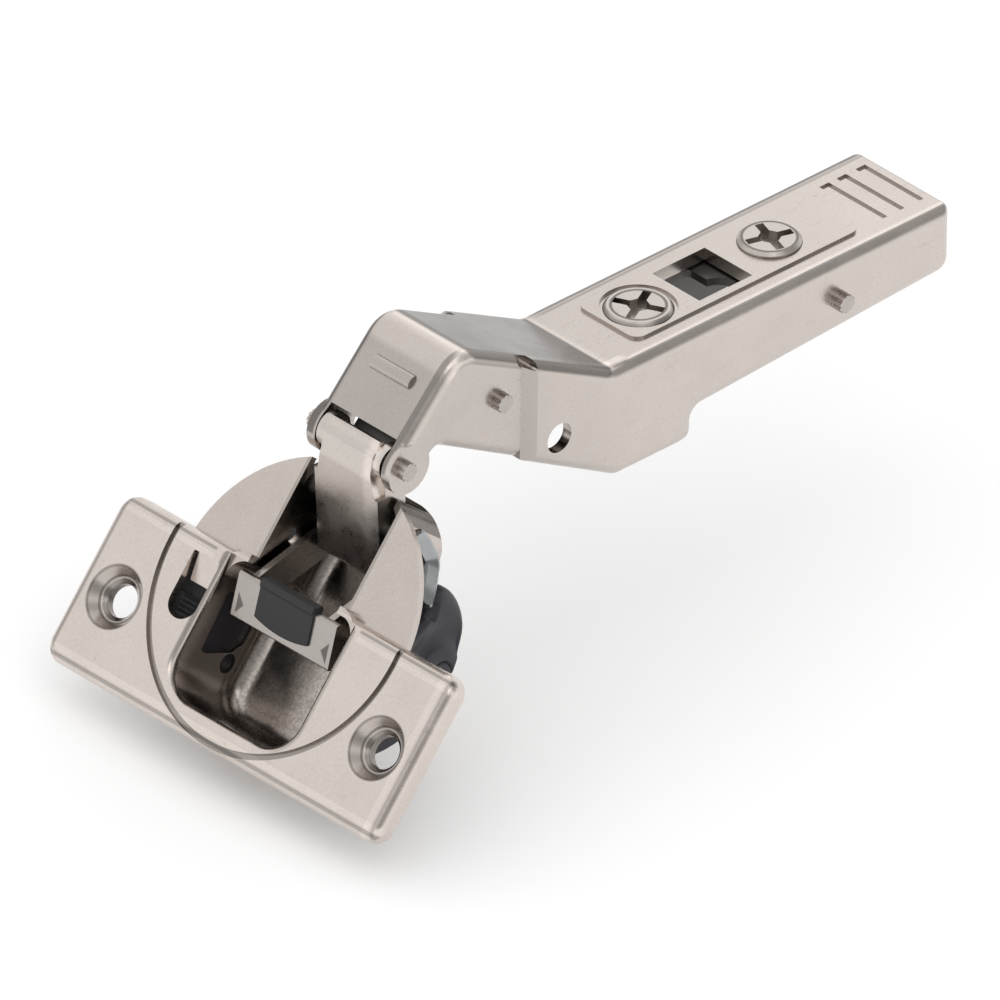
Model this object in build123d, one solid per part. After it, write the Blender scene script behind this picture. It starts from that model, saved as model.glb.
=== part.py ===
"""Soft-close cabinet hinge for a 45 degree corner front, shown open.

Row frame in millimetres. The origin is midway between the two flange screws,
on the top face of the flange. X runs along the arm to its rear, Y across it
and Z up, square to the arm's rear top. Boss coordinates (u, y, w) belong to
the cup: u across the flange to its rear, w out of the flange.
"""

import math
import os

from build123d import *

# cup and flange, boss coordinates
BOSS_TILT = 51.38
CUP_SHEET = 1.0
CUP_CENTRE = 9.5
SCREW_SPAN = 45.0
SCREW_HOLE = 2.1
SCREW_SEAT = 3.95
PAN_FRONT = -10.2
PAN_REAR = 11.9
PAN_HALF = 28.5
DOOR_FACE = -2.9
PAN_BEND = 1.3
DRUM_RADIUS = 17.2
WING_RADIUS = 18.2
WING_TOP = DOOR_FACE + CUP_SHEET
RING_OUTER = 19.4
RING_INNER = 18.6
RING_DEPTH = 0.45
MOUTH_FRONT = -6.6
MOUTH_REAR = 11.5
MOUTH_HALF = 10.5
MOUTH_LIP = 1.3
THROAT_HALF = 7.6
FLOOR_TOP = -13.5
FLOOR_ROUND = 2.5
CUP_REAR = 27.0

# pivots: axle holes in boss coordinates, arm pins in arm coordinates
LINK_AXLE = (19.0, -10.8)
INNER_AXLE = (23.0, -6.8)
AXLE_RADIUS = 1.1
NOSE_PIN = (18.47, 24.03)
ELBOW_PIN = (34.14, 27.0)
REAR_PIN = (88.48, 18.74)
PIN_RADIUS = 1.2
RUN_GAP = 0.05
PRESS_GAP = 0.02
SIDE_GAP = 0.3

# arm
ARM_SHEET = 1.4
NOSE_HALF = 7.1
ARM_HALF = NOSE_HALF + ARM_SHEET
JOG_FRONT = 37.7
JOG_REAR = 39.1
ARM_TOP = 24.0
ARM_END = 107.0
NOSE_LIP = (18.8, 27.3)
ELBOW_TOP = (27.55, 36.71)
VALLEY = (51.95, ARM_TOP)
EAR_CENTRE = (19.5, 23.5)
EAR_RADIUS = 3.3
TOP_BEND = 1.5
CLIP_HOLE = (42.83, 18.7)
CLIP_RADIUS = 1.95
PANEL_FRONT = 58.4
PANEL_REAR = 95.2
PANEL_HALF = 5.2
PANEL_RISE = 0.35
WINDOW_FRONT = 69.85
WINDOW_REAR = 78.4
WINDOW_HALF = 4.1
SIDE_SCREW_X = 63.7
SIDE_HEAD = 4.25
SIDE_RECESS = 4.75
CAM_X = 85.1
CAM_HEAD = 3.9
RIB_PLACES = (105.2, 102.1, 99.3)
RIB_WIDTH = 0.7
RIB_DEPTH = 0.35

# links
LINK_HALF = NOSE_HALF - ARM_SHEET - SIDE_GAP
LINK_EAR = 1.1
LINK_WEB = 1.0
NOSE_EYE = 2.3
AXLE_EYE = 2.0
WEB_END = 7.8
INNER_HALF = LINK_HALF - LINK_EAR - SIDE_GAP
INNER_EYE = 1.9
SLOT_WALL = 0.85

# carrier under the arm top
CARRIER_HALF = ARM_HALF - ARM_SHEET - SIDE_GAP
CARRIER_SHEET = 1.0
CARRIER_TOP = ARM_TOP - ARM_SHEET - SIDE_GAP
CARRIER_FRONT = 55.0
CARRIER_REAR = 99.0
CARRIER_FOOT = 9.9
CARRIER_EDGE = 15.7
CARRIER_TRAVEL = 1.9
FRONT_PIN = (CARRIER_FRONT + 3.0, CARRIER_FOOT + 1.7)
LEVER_HALF = CARRIER_HALF - CARRIER_SHEET - 0.5
LEVER_SHEET = 1.1
CAM_THROW = 2.2
CAM_PEG = 1.6

# paddle, boss coordinates of its top and bottom edges
PADDLE_TOP = (10.19, -0.7)
PADDLE_FOOT = (4.77, -3.12)
PADDLE_HALF = 8.35
PADDLE_SHEET = 1.0
LEG_SHEET = 0.9
PADDLE_LEG = LINK_HALF + 2 * SIDE_GAP + LEG_SHEET

# damper beside the near cup wall, boss coordinates
DAMPER_Y = -13.7
DAMPER_W = -9.2
DAMPER_BORE = 2.05
ROD_BORE = 1.5
CYLINDER_END = 13.3
ROD_END = 16.8


def slab(points, radii, low, high):
    """Solid from a closed outline in the X-Z plane, reaching from y low to y high."""
    corners = [(x, low, z) for x, z in points]
    outline = FilletPolyline(*corners, radius=radii, close=True)
    return extrude(make_face(outline), amount=high - low, dir=(0, 1, 0))


def tile(points, radii, low, high):
    """Solid from a closed outline in the X-Y plane, reaching from z low to z high."""
    corners = [(x, y, low) for x, y in points]
    outline = FilletPolyline(*corners, radius=radii, close=True)
    return extrude(make_face(outline), amount=high - low, dir=(0, 0, 1))


def block(x_low, x_high, y_low, y_high, z_low, z_high):
    size = Box(x_high - x_low, y_high - y_low, z_high - z_low)
    return Pos((x_low + x_high) / 2, (y_low + y_high) / 2, (z_low + z_high) / 2) * size


def cross_rod(centre, radius, low, high):
    """Round rod along Y through a point of the X-Z plane."""
    rod = Rot(90, 0, 0) * Cylinder(radius, high - low)
    return Pos(centre[0], (low + high) / 2, centre[1]) * rod


def post(x, y, radius, low, high):
    return Pos(x, y, (low + high) / 2) * Cylinder(radius, high - low)


def cone_post(x, y, low_radius, high_radius, low, high):
    return Pos(x, y, (low + high) / 2) * Cone(low_radius, high_radius, high - low)


def from_boss(solid):
    return solid.rotate(Axis.Y, -BOSS_TILT)


def boss_point(place):
    """Arm-frame X and Z of a point given by its u and w."""
    turn = math.radians(BOSS_TILT)
    u, w = place
    return (u * math.cos(turn) - w * math.sin(turn), u * math.sin(turn) + w * math.cos(turn))


def inset(points, depth):
    """Line of corners moved to its right-hand side by a depth."""
    moved = []
    for first, second in zip(points, points[1:]):
        length = math.dist(first, second)
        across = (second[1] - first[1]) / length * depth
        along = -(second[0] - first[0]) / length * depth
        moved.append(((first[0] + across, first[1] + along), (second[0] + across, second[1] + along)))
    corners = [moved[0][0]]
    for (a, b), (c, d) in zip(moved, moved[1:]):
        run = (b[0] - a[0], b[1] - a[1])
        cut = (d[0] - c[0], d[1] - c[1])
        share = ((c[0] - a[0]) * cut[1] - (c[1] - a[1]) * cut[0]) / (run[0] * cut[1] - run[1] * cut[0])
        corners.append((a[0] + share * run[0], a[1] + share * run[1]))
    corners.append(moved[-1][1])
    return corners


def serrated_rod(centre, radius, low, high, stub):
    """Pin along Y whose two end stubs carry fine lengthwise teeth."""
    pin = cross_rod(centre, radius, low, high)
    teeth = 10
    for index in range(teeth):
        turn = 2 * math.pi * index / teeth
        place = (centre[0] + radius * math.cos(turn), centre[1] + radius * math.sin(turn))
        for start, end in ((low - 1, low + stub), (high - stub, high + 1)):
            pin = pin - cross_rod(place, 0.16, start, end)
    return pin


def strip(first, second, radius, low, high):
    """Round-ended bar along a line of the X-Z plane."""
    length = math.dist(first, second)
    side = (-(second[1] - first[1]) / length * radius, (second[0] - first[0]) / length * radius)
    corners = [
        (first[0] + side[0], first[1] + side[1]),
        (second[0] + side[0], second[1] + side[1]),
        (second[0] - side[0], second[1] - side[1]),
        (first[0] - side[0], first[1] - side[1]),
    ]
    bar = slab(corners, [0, 0, 0, 0], low, high)
    return bar + cross_rod(first, radius, low, high) + cross_rod(second, radius, low, high)


def coil(centre, mean, wire, turns, low, high):
    """Round-wire spring wound along Y."""
    path = Helix(pitch=(high - low - wire) / turns, height=high - low - wire, radius=mean)
    section = Plane(origin=path @ 0, z_dir=path % 0) * RegularPolygon(wire / 2, 6)
    spring = sweep(section, path=path)
    return Pos(centre[0], high - wire / 2, centre[1]) * (Rot(90, 0, 0) * spring)


def cup_room(front, rear, half, corners, grow, top):
    """Rounded box of the cup, its inside grown by a depth, with the floor's folds."""
    points = [
        (front - grow, -half - grow),
        (rear + grow, -half - grow),
        (rear + grow, half + grow),
        (front - grow, half + grow),
    ]
    radii = [corner + grow for corner in corners]
    room = tile(points, radii, FLOOR_TOP - grow, top)
    return fillet(room.edges().group_by(Axis.Z)[0], FLOOR_ROUND + grow)


def cup_drum(grow, top):
    """Body of the cup down to its floor: wide mouth, narrow throat and slanted rear."""
    mouth = cup_room(MOUTH_FRONT, MOUTH_REAR, MOUTH_HALF, [4.5, 2.7, 2.7, 4.5], grow, top)
    throat = cup_room(MOUTH_FRONT + 6, CUP_REAR - CUP_SHEET, THROAT_HALF, [3.5, 3.5, 3.5, 3.5], grow, top)
    rear = CUP_REAR + 1 + grow
    slope = [(17.6, FLOOR_TOP - grow - 1), (rear + 2, FLOOR_TOP - grow - 1), (rear + 2, -6.2 - grow)]
    return mouth + throat - slab(slope, [0, 0, 0], -MOUTH_HALF, MOUTH_HALF)


def flange_pan(grow, low, top):
    """Raised flange tray, drawn in by a depth on all four sides."""
    points = [
        (PAN_FRONT + grow, -PAN_HALF + grow),
        (PAN_REAR - grow, -PAN_HALF + grow),
        (PAN_REAR - grow, PAN_HALF - grow),
        (PAN_FRONT + grow, PAN_HALF - grow),
    ]
    pan = tile(points, [2.5 - grow] * 4, low, top)
    return fillet(pan.edges().group_by(Axis.Z)[-1], PAN_BEND - grow)


def cup_boss():
    """Drawn steel cup with its flange, wings, windows and axle holes."""
    drum = cup_drum(CUP_SHEET, -0.4)
    wing = post(CUP_CENTRE, 0, WING_RADIUS, DOOR_FACE, WING_TOP)
    wing = wing & block(PAN_REAR - CUP_SHEET, 40, -30, 30, -20, 20)
    drum = drum & post(CUP_CENTRE, 0, WING_RADIUS + 2, -30, 1)
    pan = flange_pan(0, DOOR_FACE, 0) - (flange_pan(CUP_SHEET, DOOR_FACE - 2, -CUP_SHEET) - drum)
    rear_top = block(MOUTH_REAR + CUP_SHEET, 40, -30, 30, WING_TOP, 5)
    body = pan + (drum - rear_top) + wing
    for side in (-1, 1):
        y = side * SCREW_SPAN / 2
        body = body + cone_post(0, y, 3.3, 5.0, DOOR_FACE, -0.5)
    body = body - cup_drum(0, 4)
    body = body - block(PAN_REAR, 40, -THROAT_HALF, THROAT_HALF, DOOR_FACE, 4)
    body = body - block(20, 40, -LINK_HALF - 0.5, LINK_HALF + 0.5, -9.5, 4)
    body = body - mouth_lip()
    ring = post(CUP_CENTRE, 0, RING_OUTER, -RING_DEPTH, 2) - post(CUP_CENTRE, 0, RING_INNER, -3, 3)
    body = body - (ring & block(-20, PAN_REAR + 1, -30, 30, -5, 5))
    for side in (-1, 1):
        y = side * SCREW_SPAN / 2
        body = body - cone_post(0, y, 2.9, SCREW_SEAT, -1.3, 0)
        body = body - post(0, y, SCREW_HOLE, DOOR_FACE - 1, 1)
        body = body - cone_post(0, y, SCREW_HOLE, 2.7, -1.9, -1.29)
    body = body - tile([(1.5, 11.0), (9.7, 11.0), (9.7, 15.2), (1.5, 15.2)], [2.0, 0.3, 0.3, 2.0], -1.2, 1)
    body = body + slab([(10.3, -0.3), (6.1, -1.5), (6.1, -2.3), (10.3, -1.1)], [0, 0.3, 0, 0], 11.3, 14.8)
    body = body - wall_window()
    body = body - cross_rod((-0.75, -9.9), 1.25, 9, 13)
    body = body - cross_rod((16.6, -6.2), 1.1, 7, 10)
    for place in (LINK_AXLE, INNER_AXLE):
        body = body - cross_rod(place, AXLE_RADIUS + PRESS_GAP, -13, 13)
    return from_boss(body)


def mouth_lip():
    """Space above the rounded lip of the mouth."""
    front = MOUTH_FRONT
    rear = MOUTH_REAR + 6
    half = MOUTH_HALF
    hole = tile([(front, -half), (rear, -half), (rear, half), (front, half)], [4.5] * 4, -5, 1)
    plate = block(-30, 40, -30, 30, -4, 0) - hole
    rim = [edge for edge in plate.edges() if abs(edge.center().Z) < 0.01
           and abs(edge.center().Y) < half + 0.1 and front - 0.1 < edge.center().X < rear + 0.1]
    plate = fillet(rim, MOUTH_LIP)
    reach = MOUTH_LIP + 0.2
    return block(front - reach, MOUTH_REAR, -half - reach, half + reach, -MOUTH_LIP, 1) - plate


def wall_window():
    """Opening in the far cup wall through which the damper works."""
    points = [(7.2, -3.6), (-0.6, -4.1), (-0.7, -5.1), (0.6, -9.6), (2.2, -10.9), (7.2, -10.9)]
    return slab(points, [0.6, 0.5, 0.5, 0.6, 0.6, 0.6], MOUTH_HALF - 0.5, MOUTH_HALF + 2)


def damper_housing(side):
    """Plastic housing outside the cup wall, inside the drilled hole."""
    points = [(-4, -3.3), (12, -3.3), (14, -6), (20.3, -9.9), (20.9, -12), (18.6, -14.5), (-2, -14.5), (-5, -10)]
    body = slab(points, [1, 1, 3, 2, 1.5, 2.5, 3, 2], -DRUM_RADIUS, -11.0)
    body = body & post(CUP_CENTRE, 0, DRUM_RADIUS - 0.1, -30, 5)
    body = body - cup_drum(CUP_SHEET, -0.4)
    if side > 0:
        body = body.mirror(Plane.XZ)
    return body


def damper_housing_near():
    body = damper_housing(-1)
    body = body - bore_along_u(DAMPER_BORE, 2.6, CYLINDER_END) - bore_along_u(ROD_BORE, 3, ROD_END + 0.4)
    body = body - slab([(17.6, -9.9), (20.2, -11.1), (19.7, -12.2), (17.4, -11.1)], [0.3] * 4, -20, -12.5)
    return from_boss(body)


def damper_housing_far():
    return from_boss(damper_housing(1))


def bore_along_u(radius, low, high):
    rod = Rot(0, 90, 0) * Cylinder(radius, high - low)
    return Pos((low + high) / 2, DAMPER_Y, DAMPER_W) * rod


def damper_cylinder():
    body = bore_along_u(DAMPER_BORE, 2.6, CYLINDER_END) - bore_along_u(1.4, 3.6, CYLINDER_END - 0.8)
    return from_boss(body - bore_along_u(0.7 + RUN_GAP, CYLINDER_END - 1, CYLINDER_END + 1))


def damper_rod():
    piston = bore_along_u(1.3, 10.0, 11.6) + bore_along_u(0.7, 11.0, ROD_END)
    return from_boss(piston + bore_along_u(1.3, ROD_END - 0.7, ROD_END))


def damper_switch():
    """Ridged slider that switches the damper off."""
    body = tile([(1.65, 11.8), (4.4, 11.8), (4.4, 15.0), (1.65, 15.0)], [1.2, 0, 0, 1.7], -3.25, -1.5)
    for index in range(4):
        u = 2.15 + 0.62 * index
        body = body + block(u - 0.15, u + 0.15, 12.3, 14.5, -1.6, -1.28)
    return from_boss(body)


def along_paddle(down, out):
    """Boss point on the paddle face: a way down from its top edge and out of the face."""
    length = math.dist(PADDLE_TOP, PADDLE_FOOT)
    run = ((PADDLE_FOOT[0] - PADDLE_TOP[0]) / length, (PADDLE_FOOT[1] - PADDLE_TOP[1]) / length)
    return (PADDLE_TOP[0] + down * run[0] + out * run[1], PADDLE_TOP[1] + down * run[1] - out * run[0])


def paddle_bracket():
    """Steel paddle with two legs that turn on the link axle."""
    length = math.dist(PADDLE_TOP, PADDLE_FOOT)
    face = [along_paddle(0, 0), along_paddle(length, 0)]
    back = [along_paddle(length, -PADDLE_SHEET), along_paddle(0, -PADDLE_SHEET)]
    body = slab(face + back, [0.4, 0.3, 0.3, 0.3], -PADDLE_HALF, PADDLE_HALF)
    leg = [
        along_paddle(0.3, -0.5),
        (11.6, -2.4),
        (20.2, -9.1),
        (20.0, -12.4),
        (17.4, -12.4),
        (9.0, -5.6),
        along_paddle(length - 0.3, -0.5),
    ]
    for side in (-1, 1):
        low, high = sorted((side * PADDLE_LEG, side * (PADDLE_LEG - LEG_SHEET)))
        body = body + slab(leg, [0.2, 1, 1.6, 1.6, 1.6, 2, 0.2], low, high)
        body = body + slab(
            [along_paddle(0.5, -0.3), along_paddle(length - 0.5, -0.3),
             along_paddle(length - 0.9, -2.4), along_paddle(1.2, -2.4)],
            [0, 0, 0.8, 0.8],
            *sorted((side * PADDLE_HALF, side * (PADDLE_HALF - LEG_SHEET))),
        )
    return from_boss(body - cross_rod(LINK_AXLE, AXLE_RADIUS + RUN_GAP, -9, 9))


def paddle_insert():
    """Plastic pad clipped over the paddle face."""
    length = math.dist(PADDLE_TOP, PADDLE_FOOT)
    points = [
        along_paddle(0, 0),
        along_paddle(length - 1.2, 0),
        along_paddle(length - 1.4, 0.8),
        along_paddle(0.1, 0.9),
        along_paddle(-0.9, 0.4),
        along_paddle(-0.9, -1.3),
        along_paddle(0, -1.3),
    ]
    body = slab(points, [0, 0.2, 0.4, 0.5, 0.5, 0.3, 0], -5.2, 5.0)
    return from_boss(body)


def cup_axle():
    """U-shaped zinc axle: two round legs joined by a flat strip beside the cup."""
    body = strip((23.9, -4.7), INNER_AXLE, 1.6, -10.6, -9.4)
    body = body + strip(INNER_AXLE, LINK_AXLE, 1.6, -10.6, -9.4)
    body = body + strip(LINK_AXLE, (16.4, -11.2), 1.5, -10.6, -9.4)
    for place in (LINK_AXLE, INNER_AXLE):
        body = body + cross_rod(place, AXLE_RADIUS, -10.0, THROAT_HALF + CUP_SHEET + 0.5)
    return from_boss(body)


def closing_spring():
    return coil(boss_point(LINK_AXLE), 1.75, 0.7, 6, -LINK_HALF + LINK_EAR + 0.4, LINK_HALF - LINK_EAR - 0.4)


def web_front(z):
    """X of the outer link's front face at a height."""
    return 16.15 - 0.0754 * (z - 17.54)


def outer_link():
    """Folded link: a web with two flanges, an eye at each end."""
    low_pivot = boss_point(LINK_AXLE)
    web_low = (web_front(WEB_END), WEB_END)
    web_high = (web_front(22.3), 22.3)
    body = slab(
        [web_low, web_high, (16.3, 26.0), (19.5, 25.0), (20.6, 21.0), (20.6, 15.8), (18.2, 15.4),
         (18.1, 12.0), (22.0, 9.0), (20.8, 6.1), (18.5, 6.7)],
        [0.8, 3, 1, 2, 2, 1.2, 1, 1, 1.5, 1.5, 1.2],
        -LINK_HALF,
        LINK_HALF,
    )
    wedge = [(4.2, 22.9), (4.9, 19.6), (9, 19.6), (9, 30), (4.2, 30)]
    for side in (-1, 1):
        corners = [(10, side * y, z) for y, z in wedge]
        notch = extrude(make_face(Polyline(*corners, close=True)), amount=7.3, dir=(1, 0, 0))
        body = body - notch
    body = body + cross_rod(NOSE_PIN, NOSE_EYE, -LINK_HALF, LINK_HALF)
    body = body + cross_rod(low_pivot, AXLE_EYE, -LINK_HALF, LINK_HALF)
    inner = boss_point(INNER_AXLE)
    sweep_radius = math.dist(inner, low_pivot)
    ring = cross_rod(low_pivot, sweep_radius + AXLE_RADIUS + 0.3, -9, 9)
    ring = ring - cross_rod(low_pivot, sweep_radius - AXLE_RADIUS - 0.3, -9, 9)
    body = body - (ring & block(inner[0] - 0.2, 40, -9, 9, 0, 40)) - cross_rod(inner, AXLE_RADIUS + 0.4, -9, 9)
    hollow_half = LINK_HALF - LINK_EAR
    back = [(web_front(4) + LINK_WEB, 4), (web_front(22.3) + LINK_WEB, 22.3), (17.9, 28), (30, 28), (30, 4)]
    body = body - slab(back, [0, 3, 0, 0, 0], -hollow_half, hollow_half)
    tongue = [(web_front(21) + 0.1, 21), (web_front(22.3) + 0.1, 22.3), (17.3, 26.9), (18.2, 26.5),
              (web_front(21) + LINK_WEB, 21)]
    body = body + slab(tongue, [0, 3, 0.3, 0.3, 0], -4.2, 4.2)
    body = body - cross_rod(NOSE_PIN, PIN_RADIUS + RUN_GAP, -9, 9)
    return body - cross_rod(low_pivot, AXLE_RADIUS + RUN_GAP, -9, 9)


def inner_link():
    """Hidden link whose upper eye is cut open, so the closed chain can run freely."""
    start = boss_point(INNER_AXLE)
    bends = [start, (20.3, 17.5), (21.5, 22.5), (25.5, 26.3), (32.0, 26.2)]
    body = cross_rod(start, INNER_EYE, -INNER_HALF, INNER_HALF)
    for first, second in zip(bends, bends[1:]):
        body = body + strip(first, second, 1.4, -INNER_HALF, INNER_HALF)
    deep = (ELBOW_PIN[0] - 1.35, ELBOW_PIN[1] - 0.75)
    wide = (ELBOW_PIN[0] + 0.95, ELBOW_PIN[1] + 1.14)
    slot = PIN_RADIUS + 0.6
    body = body + strip(deep, wide, slot + SLOT_WALL, -INNER_HALF, INNER_HALF)
    body = body - strip(deep, wide, slot, -9, 9)
    edge = math.atan2(0.8, 0.6)
    cut = [(2.4, -9), (12, -9), (12, 9), (2.4, 9)]
    turned = [
        (ELBOW_PIN[0] + a * math.cos(edge) - b * math.sin(edge),
         ELBOW_PIN[1] + a * math.sin(edge) + b * math.cos(edge))
        for a, b in cut
    ]
    body = body - slab(turned, [0, 0, 0, 0], -9, 9)
    return body - cross_rod(start, AXLE_RADIUS + RUN_GAP, -9, 9)


def arm_outline():
    """Side outline of the arm with the radius of each corner."""
    return (
        [NOSE_LIP, ELBOW_TOP, VALLEY, (ARM_END, ARM_TOP), (ARM_END, 15.2), (65.05, 13.12), (65.05, 9.25),
         (62.8, 9.0), (52.6, 9.0), (24.23, 24.59), (21.38, 21.91), (17.0, 25.65)],
        [0, 4.3, 3, 0.5, 2, 1.5, 1.5, 2, 2, 1.5, 0, 0],
    )


def arm_half_body(half):
    """Arm outline given one width, with its two long top folds rounded."""
    points, radii = arm_outline()
    body = slab(points, radii, -half, half)
    top = [
        edge
        for edge in body.edges()
        if abs(edge.center().Y) > half - 0.01 and edge.center().X > NOSE_LIP[0]
        and (edge.center().Z > 25 or (edge.center().X > 45 and edge.center().Z > ARM_TOP - 0.1))
    ]
    return fillet(top, TOP_BEND)


def arm_plan(gap, low, high):
    """Plan of the arm with the outward step of both walls."""
    nose = NOSE_HALF - gap
    rear = ARM_HALF - gap
    points = [(-5, -nose), (JOG_FRONT, -nose), (JOG_REAR, -rear), (ARM_END + 9, -rear),
              (ARM_END + 9, rear), (JOG_REAR, rear), (JOG_FRONT, nose), (-5, nose)]
    return tile(points, [0] * 8, low, high)


def hinge_arm():
    """Folded steel arm: elbow, widened rear channel, window, panel and ribs."""
    rear = arm_half_body(ARM_HALF) & arm_plan(0, -5, 60) & block(JOG_FRONT, 200, -20, 20, -5, 60)
    nose = arm_half_body(NOSE_HALF) & block(-5, JOG_REAR, -20, 20, -5, 60)
    body = nose + rear
    body = body + cross_rod(EAR_CENTRE, EAR_RADIUS, -NOSE_HALF, NOSE_HALF)
    ridge = inset([NOSE_LIP, ELBOW_TOP, VALLEY, (ARM_END + 9, ARM_TOP)], ARM_SHEET)
    slope = (ridge[1][1] - ridge[0][1]) / (ridge[1][0] - ridge[0][0])
    ridge_start = ridge[0]
    ridge[0] = (ridge[0][0] - 12, ridge[0][1] - 12 * slope)
    hollow = slab(ridge + [(ARM_END + 9, -5), (ridge[0][0], -5)], [0, 3, 4.4, 0, 0, 0], -20, 20)
    body = body - (hollow & arm_plan(ARM_SHEET, -5, 60))
    fork_top = NOSE_LIP[1] + 7.4
    fork = [ridge_start, (NOSE_LIP[0] - 8, fork_top), (8, fork_top), (8, 15), (ridge_start[0], 15)]
    body = body - slab(fork, [0] * 5, ARM_SHEET - NOSE_HALF, NOSE_HALF - ARM_SHEET)
    panel = tile(
        [(PANEL_FRONT, -PANEL_HALF), (PANEL_REAR, -PANEL_HALF), (PANEL_REAR, PANEL_HALF), (PANEL_FRONT, PANEL_HALF)],
        [1.5] * 4, ARM_TOP - 0.5, ARM_TOP + PANEL_RISE,
    )
    panel = panel - post(SIDE_SCREW_X, 0, SIDE_RECESS, ARM_TOP, ARM_TOP + 1)
    body = body + panel
    body = body - block(WINDOW_FRONT, WINDOW_REAR, -WINDOW_HALF, WINDOW_HALF, 22, 30)
    body = body - post(SIDE_SCREW_X, 0, SIDE_HEAD + RUN_GAP, 21, 30)
    body = body - post(CAM_X, 0, CAM_HEAD + RUN_GAP, 21, 30)
    for x in RIB_PLACES:
        body = body - block(x - RIB_WIDTH / 2, x + RIB_WIDTH / 2, -5.0, 5.1, ARM_TOP - RIB_DEPTH, 30)
        body = body - block(x - 1.2, x, 4.4, 5.1, ARM_TOP - RIB_DEPTH, 30)
    for place in (NOSE_PIN, ELBOW_PIN, REAR_PIN):
        body = body - cross_rod(place, PIN_RADIUS + PRESS_GAP, -20, 20)
    body = body - cross_rod(CLIP_HOLE, CLIP_RADIUS, -20, 20)
    fold = [(JOG_FRONT - 0.5, 60), (JOG_FRONT - 0.5, 30.4), (JOG_REAR + 0.2, 29.4), (JOG_REAR + 0.2, 60)]
    for side in (-1, 1):
        body = body - slab(fold, [0, 0.4, 0.4, 0], *sorted((side * (NOSE_HALF - 1.1), side * 12)))
    along = ((ELBOW_TOP[0] - NOSE_LIP[0]) / math.dist(NOSE_LIP, ELBOW_TOP),
             (ELBOW_TOP[1] - NOSE_LIP[1]) / math.dist(NOSE_LIP, ELBOW_TOP))
    crown = (NOSE_LIP[0] + 6.75 * along[0] + 0.45 * along[1], NOSE_LIP[1] + 6.75 * along[1] - 0.45 * along[0])
    return body + (cross_rod(crown, 1.05, -3.3, 3.3) - (hollow & arm_plan(ARM_SHEET, -5, 60)))


def arm_front_pin():
    return serrated_rod(NOSE_PIN, PIN_RADIUS, -NOSE_HALF - 1.15, NOSE_HALF + 1.15, 0.9)


def arm_link_pin():
    return serrated_rod(ELBOW_PIN, PIN_RADIUS, -NOSE_HALF - 1.15, NOSE_HALF + 1.15, 0.9)


def rear_pin():
    return serrated_rod(REAR_PIN, PIN_RADIUS, -ARM_HALF - 1.5, ARM_HALF + 1.5, 1.1)


def inner_carrier():
    """Channel under the arm top that carries the clip parts."""
    points = [(CARRIER_FRONT, CARRIER_TOP), (CARRIER_FRONT, CARRIER_FOOT), (CARRIER_FRONT + 6, CARRIER_FOOT),
              (CARRIER_FRONT + 9.2, CARRIER_EDGE), (CARRIER_REAR, CARRIER_EDGE), (CARRIER_REAR, CARRIER_TOP)]
    body = slab(points, [1.5, 1.5, 2, 2, 1.5, 1], -CARRIER_HALF, CARRIER_HALF)
    inner = CARRIER_HALF - CARRIER_SHEET
    body = body - block(CARRIER_FRONT - 1, CARRIER_REAR + 1, -inner, inner, 0, CARRIER_TOP - CARRIER_SHEET)
    front = WINDOW_FRONT - 2.25
    rear = WINDOW_REAR - 2.4
    half = WINDOW_HALF + 0.3
    window = tile([(front, -half), (rear, -half), (rear, half), (front, half)], [0.8] * 4, 20, 23)
    body = body - (window + post(rear - 0.6, -1.6, 2.8, 20, 23))
    reach = CARRIER_TRAVEL + 0.3
    slot = block(SIDE_SCREW_X - reach, SIDE_SCREW_X + reach, -2.1, 2.1, 20, 23)
    slot = slot + post(SIDE_SCREW_X - reach, 0, 2.1, 20, 23) + post(SIDE_SCREW_X + reach, 0, 2.1, 20, 23)
    body = body - slot
    body = body - block(CAM_X - CAM_PEG - 0.2, CAM_X + CAM_PEG + 0.2, -4.3, 1.2, 20, 23)
    slot_front = (REAR_PIN[0] - CARRIER_TRAVEL, REAR_PIN[1])
    slot_rear = (REAR_PIN[0] + CARRIER_TRAVEL, REAR_PIN[1])
    body = body - strip(slot_front, slot_rear, PIN_RADIUS + 0.15, -20, 20)
    return body - cross_rod(FRONT_PIN, PIN_RADIUS + PRESS_GAP, -20, 20)


def carrier_front_pin():
    return cross_rod(FRONT_PIN, PIN_RADIUS, -CARRIER_HALF, CARRIER_HALF)


def cross_slots(x, top, reach, turn):
    """Two crossed screwdriver slots with a deeper middle."""
    slots = Box(2 * reach, 1.1, 2.4) + Box(1.1, 2 * reach, 2.4) + Rot(0, 0, 45) * Box(2.6, 2.6, 2.6)
    return Pos(x, 0, top) * (Rot(0, 0, turn) * slots)


def side_adjust_screw():
    """Screw that sets the arm sideways: slotted head, neck and a foot under the carrier."""
    head = chamfer(post(SIDE_SCREW_X, 0, SIDE_HEAD, CARRIER_TOP + 0.3, 24.5).edges().group_by(Axis.Z)[-1], 0.4)
    neck = post(SIDE_SCREW_X, 0, 1.9, 20.0, CARRIER_TOP + 0.5)
    foot = post(SIDE_SCREW_X, 0, 2.9, 19.9, CARRIER_TOP - CARRIER_SHEET - 0.1)
    return head + neck + foot - cross_slots(SIDE_SCREW_X, 24.5, 3.2, 27)


def depth_cam_screw():
    """Cam screw that moves the arm along the carrier by an offset peg."""
    head = chamfer(post(CAM_X, 0, CAM_HEAD, CARRIER_TOP + 0.3, 25.0).edges().group_by(Axis.Z)[-1], 0.4)
    peg = post(CAM_X, -CAM_THROW, CAM_PEG, CARRIER_TOP - CARRIER_SHEET - 0.1, CARRIER_TOP + 0.4)
    return head + peg - cross_slots(CAM_X, 25.0, 3.0, 72)


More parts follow.
